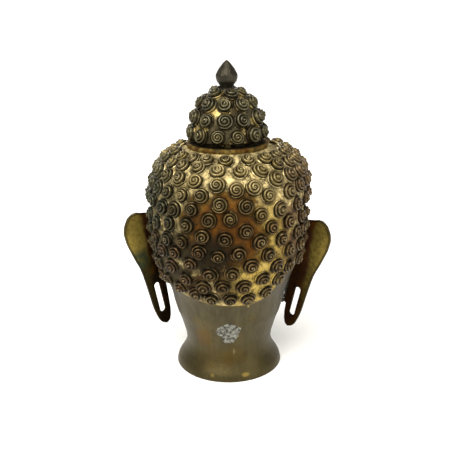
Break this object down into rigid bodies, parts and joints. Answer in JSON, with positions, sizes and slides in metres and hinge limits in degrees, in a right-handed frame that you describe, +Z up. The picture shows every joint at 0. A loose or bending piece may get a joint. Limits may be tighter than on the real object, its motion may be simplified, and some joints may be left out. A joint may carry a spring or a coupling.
{
  "type": "buddha head bust",
  "caption": "Cast brass Buddha head cut flat below the neck, with snail-shell curls, a curled dome with a lotus bud, and long slotted ear plates.",
  "frame": {"origin": "centre of the flat underside of the neck", "axes": "+Z up, -Y the way the face looks, +X the figure's own left"},
  "size_m": [0.2531, 0.2156, 0.38],
  "materials": {
    "patinated_brass": "cast brass with dark brown patina on the curls and gold, ochre and rust in the hollows, satin neck",
    "dark_brass": "cast brass with a dark grey-green patina and ochre hollows",
    "olive_brass": "thin brass plate, olive gold outside, dark red-brown along the joint"
  },
  "bodies": {
    "root": {"head": "patinated_brass", "ushnisha": "dark_brass", "ear_left": "olive_brass", "ear_right": "olive_brass"}
  },
  "joints": []
}
